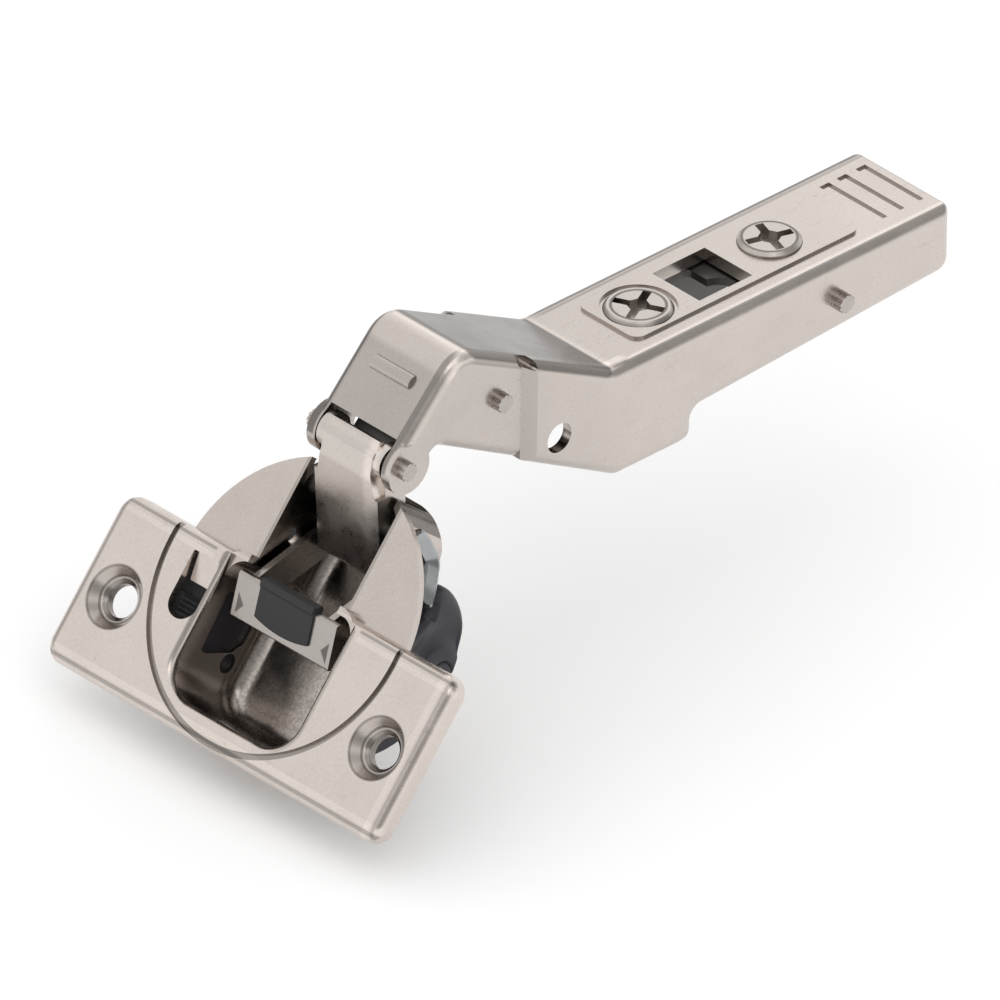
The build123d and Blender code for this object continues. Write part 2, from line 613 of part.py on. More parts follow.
def release_lever():
    """Finger lever of the clip, turning on the rear pin."""
    finger = (CARRIER_REAR + 2, 16.6)
    hook = (REAR_PIN[0] - 4.28, 17.4)
    cheek = strip(REAR_PIN, finger, 1.4, -LEVER_HALF, LEVER_HALF)
    cheek = cheek + cross_rod(REAR_PIN, 2.3, -LEVER_HALF, LEVER_HALF)
    cheek = cheek + strip(REAR_PIN, hook, 1.4, -LEVER_HALF, LEVER_HALF)
    inner = LEVER_HALF - LEVER_SHEET
    cheek = cheek - block(80, CARRIER_REAR - 0.5, -inner, inner, 10, 30)
    return cheek - cross_rod(REAR_PIN, PIN_RADIUS + RUN_GAP, -9, 9)


def lever_spring():
    return coil(REAR_PIN, 1.75, 0.6, 5, -3.8, 3.8)


os.makedirs("parts", exist_ok=True)
pieces = (
    cup_boss,
    damper_housing_near,
    damper_housing_far,
    damper_cylinder,
    damper_rod,
    damper_switch,
    paddle_bracket,
    paddle_insert,
    cup_axle,
    closing_spring,
    outer_link,
    inner_link,
    hinge_arm,
    arm_front_pin,
    arm_link_pin,
    rear_pin,
    inner_carrier,
    carrier_front_pin,
    side_adjust_screw,
    depth_cam_screw,
    release_lever,
    lever_spring,
)
for piece in pieces:
    export_step(piece(), "parts/" + piece.__name__ + ".step")
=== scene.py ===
import math

import bpy
import numpy as np
from mathutils import Matrix, Vector


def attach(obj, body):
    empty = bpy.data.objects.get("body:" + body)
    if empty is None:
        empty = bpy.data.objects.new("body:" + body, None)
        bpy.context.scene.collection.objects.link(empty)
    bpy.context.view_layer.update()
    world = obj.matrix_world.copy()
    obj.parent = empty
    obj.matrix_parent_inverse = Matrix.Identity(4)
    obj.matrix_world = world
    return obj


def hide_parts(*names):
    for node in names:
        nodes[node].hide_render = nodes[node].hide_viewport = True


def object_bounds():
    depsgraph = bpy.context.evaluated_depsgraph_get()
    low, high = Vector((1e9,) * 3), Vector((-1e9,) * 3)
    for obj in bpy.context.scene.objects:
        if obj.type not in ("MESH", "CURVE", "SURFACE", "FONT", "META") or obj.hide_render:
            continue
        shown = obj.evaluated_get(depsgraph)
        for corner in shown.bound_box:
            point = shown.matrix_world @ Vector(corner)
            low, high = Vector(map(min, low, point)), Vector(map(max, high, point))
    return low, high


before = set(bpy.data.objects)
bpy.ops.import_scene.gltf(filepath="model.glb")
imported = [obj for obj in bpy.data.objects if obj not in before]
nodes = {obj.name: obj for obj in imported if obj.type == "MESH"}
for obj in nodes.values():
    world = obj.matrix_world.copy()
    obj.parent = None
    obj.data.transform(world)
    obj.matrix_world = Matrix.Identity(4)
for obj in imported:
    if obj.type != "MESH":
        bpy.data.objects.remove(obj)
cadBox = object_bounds()
print("stage: frame loaded,", len(nodes), "solids")

# tilt of the cup's own frame (u along it, y across it, w out of its mouth) from the arm
bossTilt = math.radians(51.38)

# parallel lines stay parallel in the photograph, so the camera has a parallel view
cameraSetup = {
    "lookAt": (0.02916, -0.01267, 0.01778),
    "right": (0.7241, -0.6895, 0.0177),
    "up": (0.3584, 0.3981, 0.8444),
    "pixelsPerMetre": 8450.0,
    "imageWidth": 1000,
    "distance": 1.5,
    "clipStart": 0.005,
}

lightSetup = {
    "worldShow": 1.0,  # what the camera and mirrors see
    "worldFill": 1.0,  # what matt surfaces get
    "lowSky": (0.98, 0.98, 0.98),
    "highSky": (1.0, 1.0, 1.0),
    "keyPower": 0.7,
    "keySize": 0.5,
    "keyPlace": (-0.35, -0.75, 0.95),
    "rimPower": 0.3,
    "rimSize": 0.35,
    "rimPlace": (0.75, 0.45, 0.6),
    "target": (0.03, 0, 0.01),
    # dark cards: direction, cosines of the outer and inner edge, brightness
    "cards": (((0.6, -0.5, 0.58), 0.84, 0.95, 0.4), ((-0.55, -0.72, 0.42), 0.8, 0.96, 0.4),
              ((-0.2, 0.95, 0.1), 0.86, 0.97, 0.6)),
}

floorSetup = {"size": 6.0, "gap": 0.0006, "colour": (0.985, 0.985, 0.985), "roughness": 0.85, "specular": 0.1,
              "glow": 0.06}


def placeCamera(setup):
    right = Vector(setup["right"]).normalized()
    up = Vector(setup["up"])
    back = right.cross(up).normalized()
    up = back.cross(right)
    turn = Matrix((right, up, back)).transposed()
    place = Vector(setup["lookAt"]) + back * setup["distance"]
    data = bpy.data.cameras.new("viewCamera")
    data.type = "ORTHO"
    data.ortho_scale = setup["imageWidth"] / setup["pixelsPerMetre"]
    data.clip_start = setup["clipStart"]
    camera = bpy.data.objects.new("viewCamera", data)
    bpy.context.scene.collection.objects.link(camera)
    camera.matrix_world = Matrix.Translation(place) @ turn.to_4x4()
    bpy.context.scene.camera = camera


def addLamp(name, place, size, power, target):
    data = bpy.data.lights.new(name, "AREA")
    data.size = size
    data.energy = power
    lamp = bpy.data.objects.new(name, data)
    bpy.context.scene.collection.objects.link(lamp)
    aim = (Vector(target) - Vector(place)).to_track_quat("-Z", "Y")
    lamp.matrix_world = Matrix.Translation(place) @ aim.to_matrix().to_4x4()


def lightScene(setup):
    world = bpy.data.worlds.new("paleStudio")
    bpy.context.scene.world = world
    world.use_nodes = True
    tree = world.node_tree
    tree.nodes.clear()
    where = tree.nodes.new("ShaderNodeTexCoord")
    split = tree.nodes.new("ShaderNodeSeparateXYZ")
    tree.links.new(where.outputs["Generated"], split.inputs[0])
    blend = tree.nodes.new("ShaderNodeMix")
    blend.data_type = "RGBA"
    blend.inputs["A"].default_value = (*setup["lowSky"], 1)
    blend.inputs["B"].default_value = (*setup["highSky"], 1)
    tree.links.new(split.outputs["Z"], blend.inputs["Factor"])
    path = tree.nodes.new("ShaderNodeLightPath")
    seen = tree.nodes.new("ShaderNodeMath")
    seen.operation = "MAXIMUM"
    tree.links.new(path.outputs["Is Camera Ray"], seen.inputs[0])
    tree.links.new(path.outputs["Is Glossy Ray"], seen.inputs[1])
    seenMore = tree.nodes.new("ShaderNodeMath")
    seenMore.operation = "MAXIMUM"
    tree.links.new(seen.outputs[0], seenMore.inputs[0])
    tree.links.new(path.outputs["Is Transmission Ray"], seenMore.inputs[1])
    strength = tree.nodes.new("ShaderNodeMapRange")
    tree.links.new(seenMore.outputs[0], strength.inputs["Value"])
    strength.inputs["To Min"].default_value = setup["worldFill"]
    strength.inputs["To Max"].default_value = setup["worldShow"]
    shine = strength.outputs["Result"]
    for way, outer, inner, dark in setup["cards"]:
        facing = tree.nodes.new("ShaderNodeVectorMath")
        facing.operation = "DOT_PRODUCT"
        tree.links.new(where.outputs["Generated"], facing.inputs[0])
        facing.inputs[1].default_value = Vector(way).normalized()
        card = spread(tree, facing.outputs["Value"], outer, inner, 0.0, 1.0 - dark)
        loss = addMath(tree, "MULTIPLY", card, path.outputs["Is Glossy Ray"])
        shine = addMath(tree, "MULTIPLY", shine, addMath(tree, "SUBTRACT", 1.0, loss))
    sky = tree.nodes.new("ShaderNodeBackground")
    tree.links.new(blend.outputs["Result"], sky.inputs["Color"])
    tree.links.new(shine, sky.inputs["Strength"])
    out = tree.nodes.new("ShaderNodeOutputWorld")
    tree.links.new(sky.outputs[0], out.inputs["Surface"])
    addLamp("keyLamp", setup["keyPlace"], setup["keySize"], setup["keyPower"], setup["target"])
    addLamp("rimLamp", setup["rimPlace"], setup["rimSize"], setup["rimPower"], setup["target"])


def addFloor(setup, low):
    half = setup["size"] / 2
    corners = np.array([(-half, -half, 0), (half, -half, 0), (half, half, 0), (-half, half, 0)], np.float32)
    corners[:, 2] = low - setup["gap"]
    mesh = bpy.data.meshes.new("floor")
    mesh.from_pydata(corners.tolist(), [], [(0, 1, 2, 3)])
    floor = bpy.data.objects.new("floor", mesh)
    bpy.context.scene.collection.objects.link(floor)
    paint = bpy.data.materials.new("floorPaint")
    paint.use_nodes = True
    shader = paint.node_tree.nodes["Principled BSDF"]
    shader.inputs["Base Color"].default_value = (*setup["colour"], 1)
    shader.inputs["Roughness"].default_value = setup["roughness"]
    shader.inputs["Specular IOR Level"].default_value = setup["specular"]
    # a faint glow that only the camera and mirrors see lifts the pale floor to white
    path = paint.node_tree.nodes.new("ShaderNodeLightPath")
    seen = addMath(paint.node_tree, "MAXIMUM", path.outputs["Is Camera Ray"], path.outputs["Is Glossy Ray"])
    seen = addMath(paint.node_tree, "MAXIMUM", seen, path.outputs["Is Transmission Ray"])
    glow = addMath(paint.node_tree, "MULTIPLY", seen, setup["glow"])
    shader.inputs["Emission Color"].default_value = (1, 1, 1, 1)
    paint.node_tree.links.new(glow, shader.inputs["Emission Strength"])
    mesh.materials.append(paint)


def newGroup(name, ins, outs):
    group = bpy.data.node_groups.new(name, "ShaderNodeTree")
    for label, kind, value in ins:
        socket = group.interface.new_socket(label, in_out="INPUT", socket_type=kind)
        socket.default_value = value
    for label, kind in outs:
        group.interface.new_socket(label, in_out="OUTPUT", socket_type=kind)
    return group, group.nodes.new("NodeGroupInput"), group.nodes.new("NodeGroupOutput")


def addMath(tree, operation, first, second):
    node = tree.nodes.new("ShaderNodeMath")
    node.operation = operation
    for index, value in enumerate((first, second)):
        if isinstance(value, (int, float)):
            node.inputs[index].default_value = value
        else:
            tree.links.new(value, node.inputs[index])
    return node.outputs[0]


def addNoise(tree, vector, scale, detail, roughness=0.55):
    noise = tree.nodes.new("ShaderNodeTexNoise")
    tree.links.new(vector, noise.inputs["Vector"])
    if isinstance(scale, (int, float)):
        noise.inputs["Scale"].default_value = scale
    else:
        tree.links.new(scale, noise.inputs["Scale"])
    noise.inputs["Detail"].default_value = detail
    noise.inputs["Roughness"].default_value = roughness
    return noise.outputs["Fac"]


def spread(tree, value, low, high, toLow, toHigh):
    node = tree.nodes.new("ShaderNodeMapRange")
    tree.links.new(value, node.inputs["Value"])
    for label, number in (("From Min", low), ("From Max", high), ("To Min", toLow), ("To Max", toHigh)):
        if isinstance(number, (int, float)):
            node.inputs[label].default_value = number
        else:
            tree.links.new(number, node.inputs[label])
    return node.outputs["Result"]


# plating of the steel sheets: noise scales, and the part of each noise that shows as a mark
plating = {
    "scratchScale": (90.0, 2600.0, 2600.0), "scratchCut": (0.62, 0.72), "dentScale": 700.0, "dentCut": (0.68, 0.76),
    "cloudCut": (0.3, 0.7), "fleckScale": 3200.0, "fleckTone": (-0.05, 0.05), "markTone": -0.1,
    "scratchRough": 0.2, "roughCut": (0.35, 0.75), "grainHeight": 0.35, "markHeight": 0.5, "bump": (0.00002, 0.35),
}


def makeSheetWear(setup):
    # plated sheet: cloudy tone, fine grain, long faint scratches and small dents, as height and tone
    group, ins, outs = newGroup(
        "sheetWear",
        [("Cloud", "NodeSocketFloat", 180.0), ("Grain", "NodeSocketFloat", 5200.0),
         ("ScratchTurn", "NodeSocketVector", (0.0, 0.0, 0.0)), ("ToneDepth", "NodeSocketFloat", 0.05),
         ("RoughLow", "NodeSocketFloat", 0.25), ("RoughHigh", "NodeSocketFloat", 0.4)],
        [("Tone", "NodeSocketFloat"), ("Roughness", "NodeSocketFloat"), ("Height", "NodeSocketFloat")],
    )
    where = group.nodes.new("ShaderNodeTexCoord").outputs["Object"]
    cloud = addNoise(group, where, ins.outputs["Cloud"], 4)
    grain = addNoise(group, where, ins.outputs["Grain"], 2)
    turned = group.nodes.new("ShaderNodeMapping")
    group.links.new(where, turned.inputs["Vector"])
    group.links.new(ins.outputs["ScratchTurn"], turned.inputs["Rotation"])
    turned.inputs["Scale"].default_value = setup["scratchScale"]
    scratchLine = spread(group, addNoise(group, turned.outputs[0], 1.0, 3, 0.7), *setup["scratchCut"], 0.0, 1.0)
    dentMask = spread(group, addNoise(group, where, setup["dentScale"], 2), *setup["dentCut"], 0.0, 1.0)
    toneLow = addMath(group, "SUBTRACT", 1.0, ins.outputs["ToneDepth"])
    toneHigh = addMath(group, "ADD", 1.0, ins.outputs["ToneDepth"])
    cloudTone = spread(group, cloud, *setup["cloudCut"], toneLow, toneHigh)
    marks = addMath(group, "MULTIPLY", addMath(group, "MAXIMUM", scratchLine, dentMask), setup["markTone"])
    fleckNoise = addNoise(group, where, setup["fleckScale"], 3, 0.7)
    marks = addMath(group, "ADD", marks, spread(group, fleckNoise, *setup["cloudCut"], *setup["fleckTone"]))
    group.links.new(addMath(group, "ADD", cloudTone, marks), outs.inputs["Tone"])
    scuffed = addMath(group, "ADD", cloud, addMath(group, "MULTIPLY", scratchLine, setup["scratchRough"]))
    rough = spread(group, scuffed, *setup["roughCut"], ins.outputs["RoughLow"], ins.outputs["RoughHigh"])
    group.links.new(rough, outs.inputs["Roughness"])
    raised = addMath(group, "MULTIPLY", grain, setup["grainHeight"])
    sunk = addMath(group, "MULTIPLY", addMath(group, "ADD", scratchLine, dentMask), setup["markHeight"])
    group.links.new(addMath(group, "SUBTRACT", raised, sunk), outs.inputs["Height"])
    return group


def bossPlace(tree):
    # turns object coordinates back by the boss tilt: u along the flange, y across it, w out of it
    where = tree.nodes.new("ShaderNodeTexCoord")
    turned = tree.nodes.new("ShaderNodeMapping")
    turned.inputs["Rotation"].default_value = (0.0, bossTilt, 0.0)
    tree.links.new(where.outputs["Object"], turned.inputs["Vector"])
    split = tree.nodes.new("ShaderNodeSeparateXYZ")
    tree.links.new(turned.outputs[0], split.inputs[0])
    return split.outputs[0], split.outputs[1], split.outputs[2]


def away(tree, first, second, centre):
    # distance in a plane from a centre: square root of the summed squares
    across = addMath(tree, "SUBTRACT", first, centre[0])
    along = addMath(tree, "SUBTRACT", second, centre[1])
    acrossSquare = addMath(tree, "MULTIPLY", across, across)
    alongSquare = addMath(tree, "MULTIPLY", along, along)
    return addMath(tree, "SQRT", addMath(tree, "ADD", acrossSquare, alongSquare), 0.0)


def band(tree, value, low, high, soft):
    # 1 between the two limits and 0 outside, with soft edges
    rising = spread(tree, value, low - soft, low, 0.0, 1.0)
    falling = spread(tree, value, high, high + soft, 1.0, 0.0)
    return addMath(tree, "MULTIPLY", rising, falling)


def darken(tree, tone, mask, factor):
    # tone times factor where the mask is 1
    share = addMath(tree, "SUBTRACT", 1.0, addMath(tree, "MULTIPLY", mask, 1.0 - factor))
    return addMath(tree, "MULTIPLY", tone, share)


endless = 1.0  # a limit that lies past every piece, for bands open on one side
crisp = 0.00003  # width of a hard edge between two tones

cupSteel = {
    "colour": (0.56, 0.505, 0.465), "tone": 0.04, "rough": (0.18, 0.32), "turn": (0, 0.9, 1.1), "cloud": 200.0,
    "flangeReach": 0.0119, "flangePaintedLight": 1.17,
    # rooms inside the cup: half width, low and high u; painted shade darkens them from the rim down to the floor
    "rooms": ((0.01095, -0.0071, 0.0122), (0.00805, 0.0, 0.0265)), "roomRise": (-0.0034, -0.0007),
    "roomFloor": -0.014, "wallShade": 0.4,
    "floorRise": (-0.0135, -0.0105), "floorPaintedLight": 0.75, "speckleScale": 2600.0, "speckleTone": (0.82, 1.2),
    "grooveCentre": (0.0095, 0.0), "groove": (0.01862, 0.01938), "grooveDepth": (-0.0006, -0.00008),
    "grooveShade": 0.5,
    # fold lines of the flange, painted shade where the factor is below 1 and painted highlight where it is above 1:
    # way, low and high limit, factor, and how near the middle they stop
    "topSkin": -0.0014,
    "folds": (("u", -0.0095, -0.0091, 0.6, -1.0), ("y", -0.0277, -0.0274, 0.7, -1.0),
              ("y", 0.0272, 0.0275, 0.75, -1.0), ("u", 0.0109, 0.0112, 0.6, 0.0125),
              ("u", -0.0088, -0.0081, 1.12, -1.0), ("y", -0.0270, -0.0262, 1.1, -1.0),
              ("u", 0.0098, 0.0104, 1.1, 0.0125)),
    # painted shade in rings round the screw holes: radius and factor, then the painted shade of the seat
    "screwPlace": (0.0225, 0.0), "rings": ((0.00395, 0.55), (0.0029, 0.5), (0.00245, 0.6), (0.00215, 0.5)),
    "seatReach": 0.0038, "seatShade": 0.78,
}


def cupTone(tree, tone, setup):
    # painted shade inside the cup, in its ring groove, in its screw seats and along some folds; painted light on the
    # flange top, on the cup's floor and along other folds
    u, y, w = bossPlace(tree)
    side = addMath(tree, "ABSOLUTE", y, 0.0)
    # painted light: the flange top is made lighter than the wings of the same sheet
    tone = darken(tree, tone, band(tree, u, -endless, setup["flangeReach"], 0.0001), setup["flangePaintedLight"])
    deep = spread(tree, w, *setup["roomRise"], 1.0, 0.0)
    rooms = [addMath(tree, "MULTIPLY", band(tree, side, -endless, half, crisp), band(tree, u, low, high, crisp))
             for half, low, high in setup["rooms"]]
    room = addMath(tree, "MULTIPLY", deep, addMath(tree, "MAXIMUM", *rooms))
    room = addMath(tree, "MULTIPLY", room, band(tree, w, setup["roomFloor"], endless, crisp))
    where = tree.nodes.new("ShaderNodeTexCoord").outputs["Object"]
    speckle = spread(tree, addNoise(tree, where, setup["speckleScale"], 2), 0.35, 0.65, *setup["speckleTone"])
    floorMask = addMath(tree, "MULTIPLY", room, spread(tree, w, *setup["floorRise"], 1.0, 0.0))
    # painted shade on the walls of the cup's rooms
    tone = darken(tree, tone, room, setup["wallShade"])
    # painted light: the cup's floor is made lighter than its shaded walls; the speckle on it is random tone
    lift = addMath(tree, "ADD", 1.0, addMath(tree, "MULTIPLY", floorMask, setup["floorPaintedLight"]))
    tone = addMath(tree, "MULTIPLY", tone, lift)
    speckled = addMath(tree, "MULTIPLY", speckle, floorMask)
    mixed = addMath(tree, "ADD", speckled, addMath(tree, "SUBTRACT", 1.0, floorMask))
    tone = addMath(tree, "MULTIPLY", tone, mixed)
    # painted shade in the ring groove round the cup
    groove = band(tree, away(tree, u, y, setup["grooveCentre"]), *setup["groove"], 0.00008)
    groove = addMath(tree, "MULTIPLY", groove, band(tree, w, *setup["grooveDepth"], 0.00004))
    tone = darken(tree, tone, groove, setup["grooveShade"])
    top = band(tree, w, setup["topSkin"], endless, 0.0002)
    # painted shade and painted highlights along the flange's folds
    for way, low, high, factor, stop in setup["folds"]:
        line = addMath(tree, "MULTIPLY", band(tree, u if way == "u" else y, low, high, 0.0001), top)
        line = addMath(tree, "MULTIPLY", line, band(tree, side, stop, endless, 0.0004))
        tone = darken(tree, tone, line, factor)
    # painted shade: dark rings and a dark seat round each screw hole
    hole = away(tree, side, u, setup["screwPlace"])
    for radius, factor in setup["rings"]:
        tone = darken(tree, tone, band(tree, hole, radius - 0.0001, radius + 0.0001, 0.00008), factor)
    return darken(tree, tone, band(tree, hole, -endless, setup["seatReach"], 0.0002), setup["seatShade"])


armSteel = {
    "colour": (0.60, 0.545, 0.505), "tone": 0.035, "rough": (0.2, 0.32), "turn": (0, 0, 0.3), "cloud": 160.0,
    "topShade": 0.86, "slopeShade": 0.36, "faceShade": 0.85, "elbowShade": 0.9, "underShade": 0.6,
    "elbowFade": (0.036, 0.054), "slopeEnd": 0.0532, "zones": {"rear": (0.0545, 1.0, 0.002),
                                                               "front": (-1.0, 0.0275, 0.002),
                                                               "slope": (0.0275, 0.0545, 0.001)},
    # painted lines along the folds, shade where the factor is below 1 and highlight where it is above 1: zone, low
    # and high y, factor
    "folds": (("rear", 0.0073, 0.02, 0.4), ("front", 0.0061, 0.02, 0.4), ("rear", -0.0077, -0.0074, 0.62),
              ("rear", -0.0072, -0.0068, 1.15), ("rear", 0.0066, 0.0069, 0.7), ("front", -0.0062, -0.0056, 0.55),
              ("front", -0.0070, -0.0065, 1.25), ("slope", -0.0074, -0.0071, 0.6),
              ("slope", -0.0067, -0.0060, 1.3)),
    "crownPlace": (0.0274, 0.0352), "crownReach": 0.0022, "crownPaintedHighlight": 1.25, "insideHalf": 0.0055,
}


def armTone(tree, tone, setup):
    # painted shade and painted reflection: elbow faces look into the darker room, so they are painted darker; the
    # rear slope, the level top, forward faces and the underside get painted shade by the way they face
    where = tree.nodes.new("ShaderNodeTexCoord")
    split = tree.nodes.new("ShaderNodeSeparateXYZ")
    tree.links.new(where.outputs["Object"], split.inputs[0])
    facing = tree.nodes.new("ShaderNodeSeparateXYZ")
    tree.links.new(where.outputs["Normal"], facing.inputs[0])
    x, y, z = split.outputs
    normalX, normalZ = facing.outputs[0], facing.outputs[2]
    elbow = spread(tree, x, *setup["elbowFade"], 1.0, 0.0)
    # painted shade on the rear slope, the level top, forward elbow faces, the underside and the whole elbow
    rearward = band(tree, normalX, 0.25, 1.0, 0.1)
    rearward = addMath(tree, "MULTIPLY", rearward, band(tree, x, 0.0, setup["slopeEnd"], 0.001))
    tone = darken(tree, tone, rearward, setup["slopeShade"])
    level = band(tree, normalZ, 0.9, 2.0, 0.1)
    flat = addMath(tree, "MULTIPLY", level, band(tree, x, setup["slopeEnd"], endless, 0.001))
    tone = darken(tree, tone, flat, setup["topShade"])
    forward = band(tree, normalX, -1.0, -0.3, 0.2)
    tone = darken(tree, tone, addMath(tree, "MULTIPLY", forward, elbow), setup["faceShade"])
    upward = band(tree, normalZ, 0.12, 2.0, 0.1)
    zones = {name: band(tree, x, *limits) for name, limits in setup["zones"].items()}
    # painted shade and painted highlights along the arm's folds
    for zone, low, high, factor in setup["folds"]:
        line = addMath(tree, "MULTIPLY", zones[zone], upward)
        tone = darken(tree, tone, addMath(tree, "MULTIPLY", band(tree, y, low, high, 0.00015), line), factor)
    # painted highlight on the elbow's crown
    crown = band(tree, away(tree, x, z, setup["crownPlace"]), -endless, setup["crownReach"], 0.0008)
    tone = darken(tree, tone, addMath(tree, "MULTIPLY", crown, upward), setup["crownPaintedHighlight"])
    inside = band(tree, addMath(tree, "ABSOLUTE", y, 0.0), -endless, setup["insideHalf"], 0.0001)
    under = addMath(tree, "MULTIPLY", inside, band(tree, normalZ, -1.0, -0.4, 0.1))
    tone = darken(tree, tone, under, setup["underShade"])
    return darken(tree, tone, elbow, setup["elbowShade"])


linkSteel = {
    "colour": (0.59, 0.54, 0.50), "tone": 0.05, "rough": (0.22, 0.36), "turn": (0, 1.5, 0.2), "cloud": 240.0,
    "lowFade": (0.010, 0.021), "lowShade": 0.95, "fold": (-0.0046, -0.0034, 0.0008), "foldShine": 0.25,
}


def linkTone(tree, tone, setup):
    # painted shade darkens the link's web towards the cup, and a painted highlight runs along its near fold
    where = tree.nodes.new("ShaderNodeTexCoord").outputs["Object"]
    split = tree.nodes.new("ShaderNodeSeparateXYZ")
    tree.links.new(where, split.inputs[0])
    low = spread(tree, split.outputs[2], *setup["lowFade"], 1.0, 0.0)
    tone = darken(tree, tone, low, setup["lowShade"])
    fold = addMath(tree, "MULTIPLY", band(tree, split.outputs[1], *setup["fold"]), setup["foldShine"])
    return addMath(tree, "MULTIPLY", tone, addMath(tree, "ADD", 1.0, fold))


paddleSteel = {
    "colour": (0.42, 0.39, 0.365), "tone": 0.05, "rough": (0.22, 0.36), "turn": (0, 1.5, 0.2), "cloud": 240.0,
    "markMiddle": 0.0023, "markSpan": (0.0065, 0.0077), "markSlope": 0.5, "markShade": 0.35,
}


def paddleTone(tree, tone, setup):
    # painted shade of three-cornered embossed marks near both ends: inside where slope * (side - tip) is more than
    # the distance along
    u, y, w = bossPlace(tree)
    tip, end = setup["markSpan"]
    side = addMath(tree, "ABSOLUTE", y, 0.0)
    along = addMath(tree, "ABSOLUTE", addMath(tree, "ADD", w, setup["markMiddle"]), 0.0)
    widening = addMath(tree, "MULTIPLY", addMath(tree, "SUBTRACT", side, tip), setup["markSlope"])
    mark = spread(tree, addMath(tree, "SUBTRACT", widening, along), 0.0, 0.00012, 0.0, 1.0)
    mark = addMath(tree, "MULTIPLY", mark, band(tree, side, 0.0, end, 0.0001))
    return darken(tree, tone, mark, setup["markShade"])


screwSteel = {
    "colour": (0.52, 0.475, 0.44), "tone": 0.08, "rough": (0.24, 0.42), "turn": (0, 0, 0.7), "cloud": 420.0,
    "axes": (0.0637, 0.0851), "ring": (0.0032, 0.00345), "ringShade": 0.35, "edge": (0.00405, 0.006),
    "edgeShade": 0.7, "slotTop": 0.0239, "slotShade": 0.75,
}


def screwTone(tree, tone, setup):
    # painted shade: a dark ring between the head's rim and its slotted middle, a darker band at the head's edge, and
    # darker slots
    where = tree.nodes.new("ShaderNodeTexCoord").outputs["Object"]
    split = tree.nodes.new("ShaderNodeSeparateXYZ")
    tree.links.new(where, split.inputs[0])
    for x in setup["axes"]:
        reach = away(tree, split.outputs[0], split.outputs[1], (x, 0.0))
        tone = darken(tree, tone, band(tree, reach, *setup["ring"], 0.0001), setup["ringShade"])
        tone = darken(tree, tone, band(tree, reach, *setup["edge"], 0.0001), setup["edgeShade"])
    # painted shade in the slots, below the head's top
    low = band(tree, split.outputs[2], -endless, setup["slotTop"], 0.0004)
    return darken(tree, tone, low, setup["slotShade"])


def makeMaterial(name, metallic):
    material = bpy.data.materials.new(name)
    material.use_nodes = True
    tree = material.node_tree
    shader = tree.nodes["Principled BSDF"]
    shader.inputs["Metallic"].default_value = metallic
    return material, tree, shader


def tint(tree, colour, tone):
    mix = tree.nodes.new("ShaderNodeMix")
    mix.data_type = "RGBA"
    mix.blend_type = "MULTIPLY"
    mix.inputs["Factor"].default_value = 1.0
    mix.inputs["A"].default_value = (*colour, 1)
    grey = tree.nodes.new("ShaderNodeCombineColor")
    for index in range(3):
        tree.links.new(tone, grey.inputs[index])
    tree.links.new(grey.outputs[0], mix.inputs["B"])
    return mix.outputs["Result"]


def addBump(tree, height, distance, strength):
    bump = tree.nodes.new("ShaderNodeBump")
    bump.inputs["Distance"].default_value = distance
    bump.inputs["Strength"].default_value = strength
    tree.links.new(height, bump.inputs["Height"])
    return bump.outputs["Normal"]


sheetWear = makeSheetWear(plating)

pinSteel = {"colour": (0.47, 0.43, 0.40), "tone": 0.08, "rough": (0.22, 0.4), "turn": (0, 0, 1.57), "cloud": 600.0}
# painted shade: the steel parts deep inside the cup get a near-black colour for the shade they sit in
shadedInnerSteel = {"colour": (0.12, 0.115, 0.11), "tone": 0.08, "rough": (0.35, 0.5), "turn": (0, 0, 0), "cloud": 300.0}
zincCast = {"colour": (0.36, 0.37, 0.375), "tone": 0.1, "rough": (0.16, 0.3), "turn": (0, 0.9, 0), "cloud": 420.0}
springWire = {"colour": (0.33, 0.32, 0.31), "tone": 0.06, "rough": (0.25, 0.4), "turn": (0, 0, 0), "cloud": 700.0}


def makePlated(name, setup, toneRule):
    material, tree, shader = makeMaterial(name, 1.0)
    wear = tree.nodes.new("ShaderNodeGroup")
    wear.node_tree = sheetWear
    wear.inputs["Cloud"].default_value = setup["cloud"]
    wear.inputs["ScratchTurn"].default_value = setup["turn"]
    wear.inputs["ToneDepth"].default_value = setup["tone"]
    wear.inputs["RoughLow"].default_value = setup["rough"][0]
    wear.inputs["RoughHigh"].default_value = setup["rough"][1]
    tone = wear.outputs["Tone"]
    if toneRule:
        tone = toneRule(tree, tone, setup)
    tree.links.new(tint(tree, setup["colour"], tone), shader.inputs["Base Color"])
    tree.links.new(wear.outputs["Roughness"], shader.inputs["Roughness"])
    tree.links.new(addBump(tree, wear.outputs["Height"], *plating["bump"]), shader.inputs["Normal"])
    return material


darkPlastic = {"colour": (0.026, 0.0245, 0.031), "rough": (0.34, 0.5), "grain": 4200.0}
padPlastic = {"colour": (0.029, 0.029, 0.0295), "rough": (0.5, 0.62), "grain": 5200.0}
moulding = {"cloudScale": 260.0, "cloudCut": (0.3, 0.7), "tone": (0.9, 1.1), "bump": (0.00003, 0.4), "specular": 0.35}


